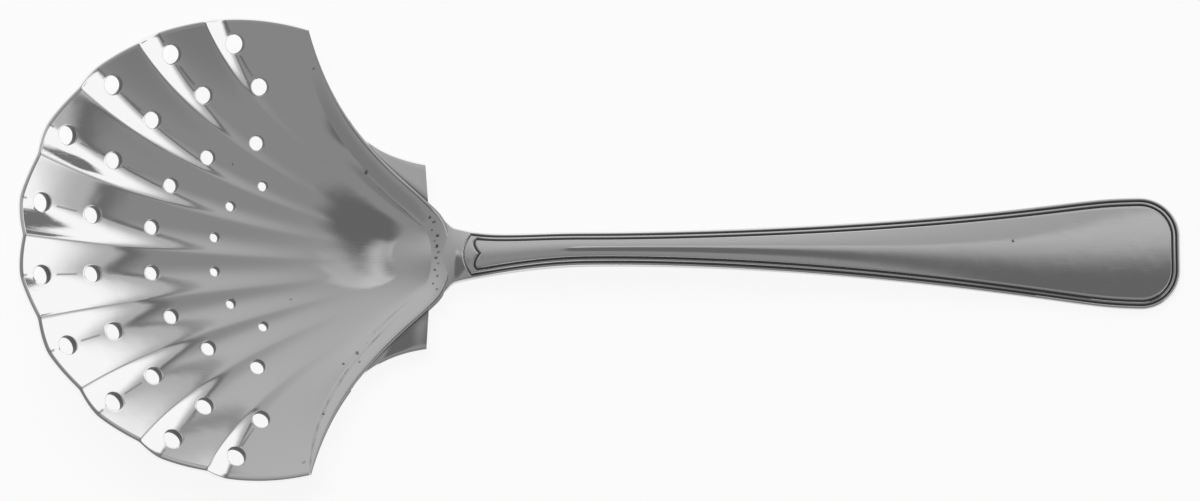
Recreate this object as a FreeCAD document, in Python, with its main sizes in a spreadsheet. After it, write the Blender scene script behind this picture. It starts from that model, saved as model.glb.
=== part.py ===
"""Pierced serving spoon: a fluted shell bowl with a folded collar and ears, and a threaded handle.

One piece of silver metal. +X runs from the bowl to the handle's end, +Y is one side, +Z is up.
The origin is at the middle of the outline, on the table that the spoon rests on. Millimetres.
"""
import FreeCAD, Part
import math
import os

Vector = FreeCAD.Vector

document = FreeCAD.newDocument("PiercedServingSpoon")
sheet = document.addObject("Spreadsheet::Sheet", "Sizes")

# Driving dimensions, each a row of the sheet: alias, value, what it is
SIZES = (
    ("overall_length", 220.0, "bowl tip to handle end"),
    ("sheet_thickness", 1.4, "metal of the bowl"),
    ("rim_centre", -66.0, "X of the middle of the round rim"),
    ("rim_half_length", 43.37, "rim radius along X"),
    ("rim_half_width", 44.6, "rim radius along Y"),
    ("rim_scallop", 0.6, "how far the rim waves in and out at the tip"),
    ("fan_root", -27.5, "X of the point that the flutes fan out from, at the neck corners"),
    ("root_radius", 4.3, "fan root to the heel's inner line"),
    ("fan_half_angle", 57.2, "angle from the axis to a back corner, at the fan root"),
    ("fan_curl", 0.7, "how much the flutes draw together towards the heel"),
    ("curl_relief", 0.15, "how much less the outer flutes draw together"),
    ("relief_angle", 45.0, "rim angle of the flutes that draw together least"),
    ("relief_spread", 10.0, "how far to each side of that angle the relief is felt"),
    ("fan_ease", 0.5, "how much of that drawing together eases off"),
    ("well_place", -40.5, "X where the bowl is lowest"),
    ("well_length", 20.0, "how far the curve of the well's floor reaches along X"),
    ("well_slope", 0.27, "slope that the floor comes to at the end of that curve"),
    ("tip_slope", 0.37, "extra slope at the holes by the tip"),
    ("tip_reach", 62.0, "well to the holes by the tip"),
    ("side_climb", 0.0037, "rise of the bowl towards its sides, per square mm"),
    ("heel_climb", 2.3, "rise of the heel wall behind the well"),
    ("back_climb", 2.4, "rise of the back walls beside the heel"),
    ("flute_depth", 1.7, "ridge to valley at the rim"),
    ("flute_start", 0.24, "share of the way to the rim where the flutes begin"),
    ("flute_growth", 1.6, "power by which the middle flutes deepen towards the rim"),
    ("outer_growth", 1.8, "how much higher that power is on the outer flutes"),
    ("hole_outer", 3.7, "diameter of the holes nearest the rim"),
    ("hole_second", 3.3, "diameter of the second ring of holes"),
    ("hole_third", 2.8, "diameter of the third ring of holes"),
    ("hole_inner", 1.8, "diameter of the innermost holes"),
    ("collar_width", 3.4, "the folded band behind the bowl"),
    ("collar_rise", 1.6, "how far the band climbs outwards"),
    ("collar_thickness", 2.2, "metal of the band"),
    ("heel_rise", 1.2, "how far the band climbs round the heel"),
    ("heel_reach", 3.8, "how far the crease runs straight on before it turns round the heel"),
    ("ear_thickness", 1.3, "metal of the ears"),
    ("ear_step", 0.5, "how far the ears lie under the band's crest"),
    ("ear_slope", 3.0, "angle at which the ears fall away outwards"),
    ("ear_bend_x", -43.5, "X that the ear's outer edge bends towards"),
    ("ear_bend_y", 19.8, "Y of the same point"),
    ("ear_tip_x", -33.2, "X of the ear's tip"),
    ("ear_tip_y", 18.1, "Y of the ear's tip"),
    ("waist_half_width", 3.18, "handle at its narrowest"),
    ("neck_spread", 2.0, "how much wider the neck is than the waist, each side"),
    ("blade_half_width", 10.85, "handle at its widest"),
    ("blade_spread", 7.4, "how much the blade would widen from the waist by its shoulder"),
    ("neck_thickness", 4.0, "handle at the neck"),
    ("end_thickness", 2.0, "handle at its end"),
    ("heel_overlap", 2.5, "how far the handle's metal runs on inside the heel"),
    ("neck_level", 0.7, "how much flatter across the neck is than the handle"),
    ("neck_run", 4.0, "how far from the fan root the neck stays flatter"),
    ("neck_height", 3.6, "middle of the metal where the handle leaves the heel"),
    ("arch_height", 9.3, "middle of the metal at the top of the handle's arch"),
    ("arch_place", -3.0, "X of the top of the arch"),
    ("end_corner", 7.6, "radius of the handle's end corners"),
    ("thread_outer", 0.72, "edge of the handle to the outer groove"),
    ("thread_inner", 1.5, "edge of the handle to the inner groove"),
    ("thread_depth", 0.28, "how deep the grooves are pressed"),
    ("thread_start", -24.6, "X where the threads begin by the neck"),
)

for row, (alias, value, meaning) in enumerate(SIZES, start=1):
    sheet.set("A%d" % row, meaning)
    sheet.set("B%d" % row, "%g" % value)
    sheet.setAlias("B%d" % row, alias)
document.recompute()


def size(alias):
    """A driving dimension, read from the sheet."""
    return float(getattr(sheet, alias))


# Rim angles of the folds, measured at the fan root: ridge, valley, ridge and so on outwards
RIDGES = [11.65 * k - 0.25 * k * k for k in range(5)]
VALLEYS = [5.3 + 10.95 * k - 0.22 * k * k for k in range(5)]
FOLDS = sorted(RIDGES + VALLEYS) + [size("fan_half_angle")]


def fold_phase(rim_angle):
    """Half turns of the flute wave at a rim angle: even on a ridge, odd in a valley."""
    angle = abs(rim_angle)
    for index in range(len(FOLDS) - 1):
        if angle <= FOLDS[index + 1] or index == len(FOLDS) - 2:
            share = (angle - FOLDS[index]) / (FOLDS[index + 1] - FOLDS[index])
            reach = 0.5 if index == len(FOLDS) - 2 else 1.0
            return index + reach * share


def fold_wave(rim_angle):
    """A folded wave, 1 on a ridge and -1 in a valley, with small rounded crests."""
    crispness = 0.97
    turned = math.cos(math.pi * fold_phase(rim_angle))
    return math.asin(crispness * turned) / math.asin(crispness)


def rim_radius(rim_angle):
    """Distance from the fan root to the scalloped rim, on a ray at the rim angle."""
    ray = math.radians(abs(rim_angle))
    fade = 1.0 - abs(rim_angle) / (1.15 * size("fan_half_angle"))
    scallop = -size("rim_scallop") * fade * fold_wave(rim_angle)
    half_length = size("rim_half_length") + scallop
    half_width = size("rim_half_width") + scallop
    back = size("fan_root") - size("rim_centre")
    square = (math.cos(ray) / half_length) ** 2 + (math.sin(ray) / half_width) ** 2
    linear = back * math.cos(ray) / half_length ** 2
    constant = (back / half_length) ** 2 - 1.0
    return (linear + math.sqrt(linear * linear - square * constant)) / square


def bowl_plan(rim_angle, share):
    """Plan place of a bowl point: its flute's rim angle, and its share of the way to the rim."""
    inward = 1.0 - share
    aside = (abs(rim_angle) - size("relief_angle")) / size("relief_spread")
    curl = size("fan_curl") - size("curl_relief") * math.exp(-aside ** 2)
    drawn = 1.0 - curl * inward + size("fan_ease") * inward ** 2
    angle = math.radians(rim_angle * drawn)
    radius = size("root_radius") + share * (rim_radius(rim_angle) - size("root_radius"))
    return size("fan_root") - radius * math.cos(angle), radius * math.sin(angle)


def base_height(rim_angle, share):
    """Height of the bowl's inside before fluting, above the lowest point."""
    along, across = bowl_plan(rim_angle, share)
    ahead = size("well_place") - along
    curve = size("well_length")
    floor = size("well_slope") * curve * math.log(math.cosh(ahead / curve))
    tip = size("tip_slope") * max(0.0, ahead) ** 3 / (3.0 * size("tip_reach") ** 2)
    side = size("side_climb") * across ** 2
    inward = max(0.0, 1.0 - share)
    heel = size("heel_climb") * inward ** 14
    wall = size("back_climb") * (rim_angle / size("fan_half_angle")) ** 4
    bump = 1.56 * inward ** 1.5 * (1.0 - inward ** 7)
    return floor + tip + side + heel + wall * bump


def flute_height(rim_angle, share):
    """Height that the folds add: none near the heel, the full depth at the rim."""
    grown = max(0.0, (share - size("flute_start")) / (1.0 - size("flute_start")))
    power = size("flute_growth") + size("outer_growth") * (rim_angle / size("relief_angle")) ** 4
    return 0.5 * size("flute_depth") * grown ** power * fold_wave(rim_angle)


def bowl_point(rim_angle, share):
    """A point on the inside of the bowl, before the bowl is set on the table."""
    along, across = bowl_plan(rim_angle, share)
    return Vector(along, across, base_height(rim_angle, share) + flute_height(rim_angle, share))


def base_normal(rim_angle, share):
    """Upward normal of the unfluted bowl, by small steps of both parameters."""
    step_angle = 0.2
    step_share = 0.002
    corners = []
    for turn, reach in ((-step_angle, 0.0), (step_angle, 0.0), (0.0, -step_share), (0.0, step_share)):
        along, across = bowl_plan(rim_angle + turn, share + reach)
        corners.append(Vector(along, across, base_height(rim_angle + turn, share + reach)))
    normal = (corners[3] - corners[2]).cross(corners[1] - corners[0])
    if normal.z < 0.0:
        normal = normal * -1.0
    return normal.normalize()


def smooth_line(points):
    """A smooth edge through the points."""
    curve = Part.BSplineCurve()
    last = len(points) - 1
    curve.interpolate(Points=points, Parameters=[step / last for step in range(last + 1)])
    return curve.toShape()


def closed_solid(faces):
    """The solid inside faces that meet edge to edge."""
    shell = Part.makeCompound(faces)
    shell.sewShape(0.001)
    solid = Part.Solid(shell.Shells[0])
    if solid.Volume < 0.0:
        solid.reverse()
    return solid


def strip_solid(upper, lower):
    """A closed solid between two grids of points, its skins ruled from column to column.

    The columns run the long way. Each becomes a smooth line, and each face is a straight-ruled
    strip between two neighbouring lines, as on a folded or rolled sheet.
    """
    upper_lines = [smooth_line([row[k] for row in upper]) for k in range(len(upper[0]))]
    lower_lines = [smooth_line([row[k] for row in lower]) for k in range(len(lower[0]))]
    faces = []
    for k in range(len(upper_lines) - 1):
        faces.append(Part.makeRuledSurface(upper_lines[k], upper_lines[k + 1]))
        faces.append(Part.makeRuledSurface(lower_lines[k], lower_lines[k + 1]))
        for row in (0, -1):
            above = Part.makeLine(upper[row][k], upper[row][k + 1])
            below = Part.makeLine(lower[row][k], lower[row][k + 1])
            faces.append(Part.makeRuledSurface(above, below))
    for k in (0, -1):
        faces.append(Part.makeRuledSurface(upper_lines[k], lower_lines[k]))
    return closed_solid(faces)


# The fluted bowl sheet, closed along the rim, the back edge and a small arc at the fan's root
CORNER_STEPS = 3
ROWS = 10


def fold_angles():
    """Rim angles of the grid's columns from side to side: one on each fold, more by the corners."""
    angles = FOLDS[:-1]
    span = FOLDS[-1] - FOLDS[-2]
    for step in range(1, CORNER_STEPS + 1):
        angles.append(FOLDS[-2] + span * step / CORNER_STEPS)
    return [-angle for angle in reversed(angles[1:])] + angles


inside = []
outside = []
for row in range(ROWS + 1):
    share = row / ROWS
    inside.append([bowl_point(angle, share) for angle in fold_angles()])
    outside.append([bowl_point(angle, share) - base_normal(angle, share) * size("sheet_thickness")
                    for angle in fold_angles()])

# The bowl stands on the table: lifted by the lowest point of its underside
UNDERSIDE_SAMPLES = 120
lowest = 0.0
for column in range(len(outside[0])):
    underside = smooth_line([line[column] for line in outside]).discretize(UNDERSIDE_SAMPLES)
    lowest = min([lowest] + [point.z for point in underside])
LIFT = Vector(0.0, 0.0, -lowest)

bowl_sheet = document.addObject("Part::Feature", "BowlSheet")
bowl_sheet.Shape = strip_solid(inside, outside)
bowl_sheet.Placement = FreeCAD.Placement(LIFT, FreeCAD.Rotation())
bowl_sheet.Label = "fluted bowl sheet"

# Punched holes, one row down each valley, square to the sheet. Each ring: the holes' diameter, its
# share of the way to the rim on the middle rows, how it falls back row by row, and its valleys
HOLE_RINGS = (
    ("hole_outer", 0.951, 0.0019, VALLEYS),
    ("hole_second", 0.829, 0.0036, VALLEYS),
    ("hole_third", 0.685, 0.0095, VALLEYS[:-1]),
    ("hole_inner", 0.533, 0.0115, VALLEYS[:-2]),
)
PUNCH_LENGTH = 8.0

punches = []
for alias, middle_share, fall, valleys in HOLE_RINGS:
    for index, valley in enumerate(valleys):
        share = middle_share - fall * index ** 2
        for side in (-1.0, 1.0):
            angle = side * valley
            axis = base_normal(angle, share)
            start = bowl_point(angle, share) + LIFT - axis * (0.5 * PUNCH_LENGTH)
            punch = document.addObject("Part::Cylinder", "Punch")
            punch.setExpression("Radius", "Sizes.%s / 2" % alias)
            punch.Height = PUNCH_LENGTH
            punch.Placement = FreeCAD.Placement(start, FreeCAD.Rotation(Vector(0, 0, 1), axis))
            punches.append(punch)

# The collar: the bowl's back edge turned up into a narrow band that climbs outwards
def crease_point(share, side):
    """A point of the bowl's back edge, lifted to the table's frame."""
    return bowl_point(side * size("fan_half_angle"), share) + LIFT


def crease_outward(share, side):
    """Plan direction from the bowl out across the collar."""
    along = crease_point(share + 0.01, side) - crease_point(share - 0.01, side)
    outward = Vector(along.y, -along.x, 0.0) * side
    return outward.normalize()


def collar_reach(share):
    """Width of the collar: nothing at a back corner, full round the heel."""
    return size("collar_width") * (1.0 - share ** 5.5) + 0.15


COLLAR_START = 0.995
HEEL_SHARE = 0.1
ARM_STATIONS = 12
HEEL_STATIONS = 6


def heel_point(step):
    """A point of the crease round the heel, on a cubic curve from one arm of the collar to the other."""
    first = crease_point(HEEL_SHARE, 1.0)
    onward = crease_point(HEEL_SHARE - 0.01, 1.0) - crease_point(HEEL_SHARE + 0.01, 1.0)
    turn = first + onward.normalize() * size("heel_reach")
    turn.z = (bowl_point(0.0, 0.0).z + LIFT.z - 0.25 * first.z) / 0.75
    rest = 1.0 - step
    pull = 3.0 * step * rest
    across = first.y * (rest ** 3 - step ** 3) + turn.y * pull * (rest - step)
    return Vector(first.x * (1.0 - pull) + turn.x * pull, across, first.z * (1.0 - pull) + turn.z * pull)


def heel_outward(step):
    """Plan direction from the well out across the collar, at a step round the heel."""
    along = heel_point(step + 0.01) - heel_point(step - 0.01)
    return Vector(-along.y, along.x, 0.0).normalize()


def collar_climb(share):
    """How far the collar climbs: least round the heel, and less where the band is narrow."""
    wide = collar_reach(share) / size("collar_width")
    low = (size("collar_rise") - size("heel_rise")) * math.exp(-((share - HEEL_SHARE) / HEEL_SHARE) ** 2)
    return wide * (size("collar_rise") - low)


def collar_stations():
    """The crease from one back corner round the heel to the other: points, directions and shares."""
    arm = [COLLAR_START + (HEEL_SHARE - COLLAR_START) * k / ARM_STATIONS for k in range(ARM_STATIONS + 1)]
    stations = [(crease_point(share, 1.0), crease_outward(share, 1.0), share) for share in arm]
    for k in range(1, HEEL_STATIONS):
        step = k / HEEL_STATIONS
        stations.append((heel_point(step), heel_outward(step), HEEL_SHARE))
    for share in reversed(arm):
        stations.append((crease_point(share, -1.0), crease_outward(share, -1.0), share))
    return stations


def collar_grid():
    """Upper and lower grids of the collar."""
    upper = []
    lower = []
    for edge, outward, share in collar_stations():
        reach = collar_reach(share)
        rise = collar_climb(share)
        upper_line = []
        lower_line = []
        for across, climb in ((-0.12, -0.1), (0.25, 0.42), (0.6, 0.86), (0.88, 1.0), (1.0, 0.8)):
            top = edge + outward * (reach * across) + Vector(0.0, 0.0, rise * climb)
            upper_line.append(top)
            deep = 0.6 + 0.4 * max(0.0, across)
            lower_line.append(top - Vector(0.0, 0.0, size("collar_thickness") * deep))
        upper.append(upper_line)
        lower.append(lower_line)
    return upper, lower


collar = document.addObject("Part::Feature", "Collar")
collar.Shape = strip_solid(*collar_grid())
collar.Label = "folded collar"


# The ears: flat wings that fall away outwards from under the collar's crest
EAR_STATIONS = 8
EAR_FIRST_SHARE = 0.62
EAR_LAST_SHARE = 0.14
EAR_START_WIDTH = 0.12


def ear_root(share, side):
    """The line under the collar's crest that an ear springs from, with its plan direction."""
    outward = crease_outward(share, side)
    reach = collar_reach(share)
    point = crease_point(share, side) + outward * reach
    point.z += collar_climb(share) - size("ear_step")
    return point, outward


def ear_edge(step, side):
    """A plan point of the ear's outer edge, on a quadratic curve from the collar to the ear's tip."""
    start, outward = ear_root(EAR_FIRST_SHARE, side)
    start = start + outward * EAR_START_WIDTH
    bend = Vector(size("ear_bend_x"), side * size("ear_bend_y"), 0.0)
    tip = Vector(size("ear_tip_x"), side * size("ear_tip_y"), 0.0)
    rest = 1.0 - step
    return start * rest ** 2 + bend * (2.0 * rest * step) + tip * step ** 2


def ear_grid(side):
    """Upper and lower grids of one ear, from under the collar to its outer edge."""
    upper = []
    lower = []
    for station in range(EAR_STATIONS + 1):
        step = station / EAR_STATIONS
        share = EAR_FIRST_SHARE + (EAR_LAST_SHARE - EAR_FIRST_SHARE) * step
        crest, outward = ear_root(share, side)
        root = crest - outward * (0.35 * collar_reach(share))
        edge = ear_edge(step, side)
        run = math.hypot(edge.x - crest.x, edge.y - crest.y)
        edge.z = crest.z - run * math.tan(math.radians(size("ear_slope")))
        down = Vector(0.0, 0.0, size("ear_thickness"))
        upper.append([root, crest, edge])
        lower.append([root - down, crest - down, edge - down])
    return upper, lower


ears = []
for side, name in ((1.0, "EarLeft"), (-1.0, "EarRight")):
    ear = document.addObject("Part::Feature", name)
    ear.Shape = strip_solid(*ear_grid(side))
    ears.append(ear)


# The handle: an arched blank with a crowned top, cut to its outline and grooved by two threads
HANDLE_START = size("fan_root") - size("heel_overlap")
HANDLE_END = 0.5 * size("overall_length")
SHOULDER = HANDLE_END - size("end_corner")


def handle_half_width(along):
    """Half the handle's width: a soft neck, a waist, and a blade that widens to its shoulders."""
    neck = size("neck_spread") * math.exp(-(along - size("fan_root")) / 8.5)
    share = max(0.0, (along + 7.0) / 102.0)
    blade = size("waist_half_width") + neck + size("blade_spread") * share ** 2.05
    firm = 2.5
    gap = size("blade_half_width") - blade
    return blade - math.log(1.0 + math.exp(-firm * gap)) / firm


def handle_middle(along):
    """Height of the middle of the handle's metal: up from the heel, over the arch, down to the end."""
    if along < size("arch_place"):
        share = (along - HANDLE_START) / (size("arch_place") - HANDLE_START)
        swell = 0.5 - 0.5 * math.cos(math.pi * share)
        return size("neck_height") + (size("arch_height") - size("neck_height")) * swell
    low = 0.5 * size("end_thickness")
    span = 1.13 * (HANDLE_END - size("arch_place"))
    end_swing = 0.5 + 0.5 * math.cos(math.pi / 1.13)
    swing = 0.5 + 0.5 * math.cos(math.pi * (along - size("arch_place")) / span)
    return low + (size("arch_height") - low) * (swing - end_swing) / (1.0 - end_swing)


def handle_thickness(along):
    """Thickness on the handle's middle line: an even taper, thinned where it enters the heel."""
    share = (along - size("fan_root")) / (HANDLE_END - size("fan_root"))
    taper = size("neck_thickness") + (size("end_thickness") - size("neck_thickness")) * share
    entry = min(1.0, (along - HANDLE_START) / (size("fan_root") - HANDLE_START))
    return taper * (0.6 + 0.4 * math.sin(0.5 * math.pi * entry))


def handle_crown(along):
    """How much the handle's top falls from its middle to its edge, as a share of half its metal."""
    share = min(1.0, max(0.0, (along - size("fan_root")) / (HANDLE_END - size("fan_root"))))
    level = size("neck_level") * math.exp(-((along - size("fan_root")) / size("neck_run")) ** 2)
    return (0.8 - 0.45 * share) * (1.0 - level)


def handle_top(along, across):
    """Height of the handle's crowned top."""
    ratio = across / handle_half_width(along)
    half = 0.5 * handle_thickness(along)
    return handle_middle(along) + half * (1.0 - handle_crown(along) * ratio ** 2)


def handle_bottom(along, across):
    """Height of the handle's underside, rounded a little across."""
    ratio = across / handle_half_width(along)
    half = 0.5 * handle_thickness(along)
    return handle_middle(along) - half * (1.0 - 0.4 * ratio ** 2)


BEAD = size("thread_inner") - size("thread_outer")
TOP_INSETS = (
    0.0,
    size("thread_outer"),
    size("thread_outer") + 0.5 * BEAD,
    size("thread_inner"),
    size("thread_inner") + 0.5 * BEAD,
)
LOW_INSETS = (0.0,)
INNER_SHARES = (0.5, 0.0, -0.5)
SIDE_STATIONS = 18
END_STATIONS = 4
END_SPLIT = math.radians(75.0)


def thread_relief(along, inset):
    """How far the two threads' grooves and the rounded edge lie under the crowned top."""
    fade = min(1.0, max(0.0, (along - size("thread_start")) / 1.2))
    depth = 0.0
    for place in (0.0, size("thread_outer"), size("thread_inner")):
        depth += size("thread_depth") * max(0.0, 1.0 - abs(inset - place) / (0.5 * BEAD))
    return fade * depth


def handle_point(along, across, inset, is_top):
    """A point of the handle's skin: the grooved top, or the plain underside."""
    if is_top:
        return Vector(along, across, handle_top(along, across) - thread_relief(along, inset))
    return Vector(along, across, handle_bottom(along, across))


def side_line(inset, share, is_top):
    """Points from the heel to the shoulder, at an inset and a share of the way out from the axis."""
    points = []
    for station in range(SIDE_STATIONS + 1):
        along = HANDLE_START + (SHOULDER - HANDLE_START) * station / SIDE_STATIONS
        across = share * (handle_half_width(along) - inset)
        points.append(handle_point(along, across, inset, is_top))
    return points


def end_line(inset, side, is_corner, is_top):
    """Points round the end at an inset: from the shoulder through the corner, or on to the axis."""
    radius = size("end_corner") - inset
    middle = handle_half_width(SHOULDER) - size("end_corner")
    points = []
    for station in range(END_STATIONS + 1):
        share = station / END_STATIONS
        turn = END_SPLIT * share if is_corner else END_SPLIT + (0.5 * math.pi - END_SPLIT) * share
        along = SHOULDER + radius * math.sin(turn)
        across = middle + radius * math.cos(turn)
        points.append(handle_point(along, side * across, inset, is_top))
    if not is_corner:
        points.append(handle_point(SHOULDER + radius, 0.0, inset, is_top))
    return points


def handle_skin(insets, is_top):
    """Faces of one skin of the handle, with its border edges and its first row of points."""
    columns = [side_line(inset, 1.0, is_top) for inset in insets]
    columns += [side_line(insets[-1], share, is_top) for share in INNER_SHARES]
    columns += [side_line(inset, -1.0, is_top) for inset in reversed(insets)]
    lines = [smooth_line(column) for column in columns]
    faces = [Part.makeRuledSurface(lines[k], lines[k + 1]) for k in range(len(lines) - 1)]
    border = [lines[0], lines[-1]]
    for side in (1.0, -1.0):
        first = len(insets) - 1 if side > 0.0 else len(columns) - len(insets)
        turn = 1 if side > 0.0 else -1
        for is_corner in (True, False):
            rings = [smooth_line(end_line(inset, side, is_corner, is_top)) for inset in insets]
            border.append(rings[0])
            faces += [Part.makeRuledSurface(rings[k], rings[k + 1]) for k in range(len(rings) - 1)]
            step = 0 if is_corner else turn
            row = Part.makeLine(columns[first + step][-1], columns[first + step + turn][-1])
            faces.append(Part.makeRuledSurface(rings[-1], row))
    return faces, border, [column[0] for column in columns]


def handle_solid():
    """The handle's two skins, the wall between them and the flat cap inside the heel."""
    top_faces, top_border, top_row = handle_skin(TOP_INSETS, True)
    low_faces, low_border, low_row = handle_skin(LOW_INSETS, False)
    faces = top_faces + low_faces
    for above, below in zip(top_border, low_border):
        faces.append(Part.makeRuledSurface(above, below))
    loop = top_row + list(reversed(low_row))
    faces.append(Part.Face(Part.makePolygon(loop + [loop[0]])))
    return closed_solid(faces)


handle = document.addObject("Part::Feature", "Handle")
handle.Shape = handle_solid()
handle.Label = "threaded handle"

# One piece of metal, then the holes punched through it
blank = document.addObject("Part::MultiFuse", "Blank")
blank.Shapes = [bowl_sheet, collar, handle] + ears
blank.Label = "blank before punching"
punch_set = document.addObject("Part::Compound", "PunchSet")
punch_set.Links = punches
spoon = document.addObject("Part::Cut", "PiercedSpoon")
spoon.Base = blank
spoon.Tool = punch_set
spoon.Label = "pierced_spoon"
document.recompute()

for item in document.Objects:
    if "Invalid" in item.State or "Error" in item.State:
        raise RuntimeError("not built: %s" % item.Name)
if spoon.Shape.isNull() or not spoon.Shape.isValid() or len(spoon.Shape.Solids) != 1:
    raise RuntimeError("the spoon is not one valid solid")

os.makedirs("parts", exist_ok=True)
spoon.Shape.exportStep("parts/pierced_spoon.step")
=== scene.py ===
"""The looks of a pierced serving spoon: a fluted shell bowl, folded collar, ears and threaded handle.

Every surface is a function of two parameters, worked out as whole arrays in millimetres in the row
frame: +X runs from the bowl to the handle's end, +Z is up, and the table is at Z = 0.
"""
import math
from collections import namedtuple
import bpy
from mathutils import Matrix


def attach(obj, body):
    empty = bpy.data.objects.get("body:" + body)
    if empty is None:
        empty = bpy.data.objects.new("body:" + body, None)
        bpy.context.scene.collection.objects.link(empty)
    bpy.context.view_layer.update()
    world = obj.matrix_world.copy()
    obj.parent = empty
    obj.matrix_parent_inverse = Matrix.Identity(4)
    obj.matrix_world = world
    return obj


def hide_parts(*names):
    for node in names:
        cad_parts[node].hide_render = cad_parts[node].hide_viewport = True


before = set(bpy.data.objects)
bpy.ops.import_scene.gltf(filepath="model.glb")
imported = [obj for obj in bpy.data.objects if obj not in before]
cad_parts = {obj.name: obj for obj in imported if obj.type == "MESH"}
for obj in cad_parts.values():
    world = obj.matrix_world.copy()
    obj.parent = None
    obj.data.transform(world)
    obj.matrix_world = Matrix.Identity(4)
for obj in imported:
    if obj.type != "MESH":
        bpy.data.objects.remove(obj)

from types import SimpleNamespace

import bmesh
import bpy
import numpy as np
from bpy.props import FloatProperty, FloatVectorProperty, PointerProperty
from mathutils import Matrix, Vector

bl_info = {
    "name": "Pierced serving spoon",
    "version": (1, 0, 0),
    "blender": (4, 5, 0),
    "location": "3D View > Sidebar > Spoon",
    "description": "Builds a silver shell spoon with drain holes, and its studio",
    "category": "Add Mesh",
}

NODE = "pierced_spoon"
MM = 0.001
UP = np.array([0.0, 0.0, 1.0])

# The bowl's plan, in millimetres and degrees, mostly by the names in the solid's sheet
FAN_ROOT = -27.5
ROOT_RADIUS = 4.3
FAN_HALF_ANGLE = 57.2
FAN_CURL = 0.7
FAN_EASE = 0.5
CURL_RELIEF = 0.15
RELIEF_ANGLE = 45.0
RELIEF_SPREAD = 10.0
RIM_CENTRE = -66.0
RIM_HALF_LENGTH = 43.37
RIM_HALF_WIDTH = 44.6
RIM_ROUND = 0.35
RIM_TURNS = np.radians(np.arange(30.0, 151.0, 30.0))
SCALLOP_FADE = 1.15 * FAN_HALF_ANGLE

# The folds: rim angles of the ridges and valleys, and half turns of the fold wave at each
RIDGES = [11.65 * k - 0.25 * k * k for k in range(5)]
VALLEYS = [5.3 + 10.95 * k - 0.22 * k * k for k in range(5)]
FOLDS = sorted(RIDGES + VALLEYS) + [FAN_HALF_ANGLE]
PHASES = [float(k) for k in range(10)] + [9.5]
OUTER_HOLLOW = 0.35
INNER_HOLLOW = 0.12
SCALLOP_CRISPNESS = 0.97
RIM_CRISPNESS = 0.985
CRISPNESS_LOSS = 0.5
FLUTE_START = 0.24
FLUTE_GROWTH = 1.6
OUTER_GROWTH = 1.8

# The bowl's heights
WELL_PLACE = -40.5
WELL_LENGTH = 20.0
WELL_SLOPE = 0.27
TIP_SLOPE = 0.37
TIP_REACH = 62.0
SIDE_CLIMB = 0.0037
HEEL_CLIMB = 2.3
HEEL_POWER = 14
BACK_CLIMB = 2.4
BACK_SCALE = 1.56
BOWL_LIFT = 1.1307

# Small steps of a rim angle and of a share, for directions worked out by differences
SMALL_ANGLE = 0.2
SMALL_SHARE = 0.002
EDGE_SHARE = 0.01


def length(name, millimetres, words):
    """A length that a user may change, kept in metres."""
    return FloatProperty(name=name, description=words, default=millimetres * MM, min=0.0,
                         subtype="DISTANCE", unit="LENGTH", precision=5)


class SpoonSizes(bpy.types.PropertyGroup):
    """Sizes of the spoon's metal, folds, holes, collar and threads."""

    sheet_thickness: length("Sheet thickness", 1.4, "Metal of the bowl")
    flute_depth: length("Flute depth", 1.7, "Ridge to valley at the rim")
    rim_scallop: length("Rim scallop", 0.6, "How far the rim waves in and out")
    hole_outer: length("Outer holes", 3.7, "Diameter of the holes nearest the rim")
    hole_second: length("Second holes", 3.3, "Diameter of the second ring of holes")
    hole_third: length("Third holes", 2.8, "Diameter of the third ring of holes")
    hole_inner: length("Inner holes", 1.8, "Diameter of the innermost holes")
    collar_width: length("Collar width", 3.4, "The folded band behind the bowl")
    collar_rise: length("Collar rise", 1.6, "How far the band climbs outwards")
    collar_metal: length("Collar metal", 2.2, "Thickness of the band")
    ear_metal: length("Ear metal", 1.3, "Thickness of the ears")
    edge_round: length("Edge round", 0.35, "Softening of the handle's edges")
    thread_outer: length("Outer thread", 0.72, "Handle edge to the outer groove")
    thread_inner: length("Inner thread", 1.5, "Handle edge to the inner groove")
    thread_depth: length("Thread depth", 0.26, "How deep the grooves are pressed")
    thread_width: length("Thread width", 0.56, "Breadth of each groove")


class SilverLook(bpy.types.PropertyGroup):
    """Colour and polish of the metal, and the tone of the studio."""

    silver: FloatVectorProperty(name="Silver", description="Colour of the polished metal",
                                subtype="COLOR", size=3, min=0.0, max=1.0,
                                default=(0.925, 0.925, 0.925))
    # Colour of the painted shade on the hole walls, folds, threads, edges and crevices, and of the pits
    painted_shade_and_pits: FloatVectorProperty(name="Tarnish", description="Colour of the dark film in the recesses",
                                 subtype="COLOR", size=3, min=0.0, max=1.0,
                                 default=(0.12, 0.12, 0.12))
    roughness: FloatProperty(name="Roughness", description="Softness of the polish",
                             default=0.04, min=0.0, max=1.0, subtype="FACTOR")
    paper: FloatVectorProperty(name="Paper", description="Colour of the floor",
                               subtype="COLOR", size=3, min=0.0, max=1.0,
                               default=(0.9, 0.9, 0.9))


def millimetres(context):
    """Every size of the spoon in millimetres, by name."""
    sizes = context.scene.spoon_sizes
    names = SpoonSizes.__annotations__
    return SimpleNamespace(**{name: getattr(sizes, name) / MM for name in names})


# Shell bowl

def fold_wave(angle, crispness):
    """1 on a ridge, -1 in a valley: the arcsine of a shortened cosine of the fold phase.

    Each flank is steeper near its ridge: the way down from the ridge is moved on by a parabola,
    more on the short outer flanks than on the long inner ones.
    """
    phase = np.interp(np.abs(angle), FOLDS, PHASES)
    ridge = 2.0 * np.round(0.5 * phase)
    down = np.abs(phase - ridge)
    hollow = np.where(phase > ridge, OUTER_HOLLOW, INNER_HOLLOW)
    turned = np.cos(np.pi * (down + hollow * down * (1.0 - down)))
    return np.arcsin(crispness * turned) / np.arcsin(crispness)


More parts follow.
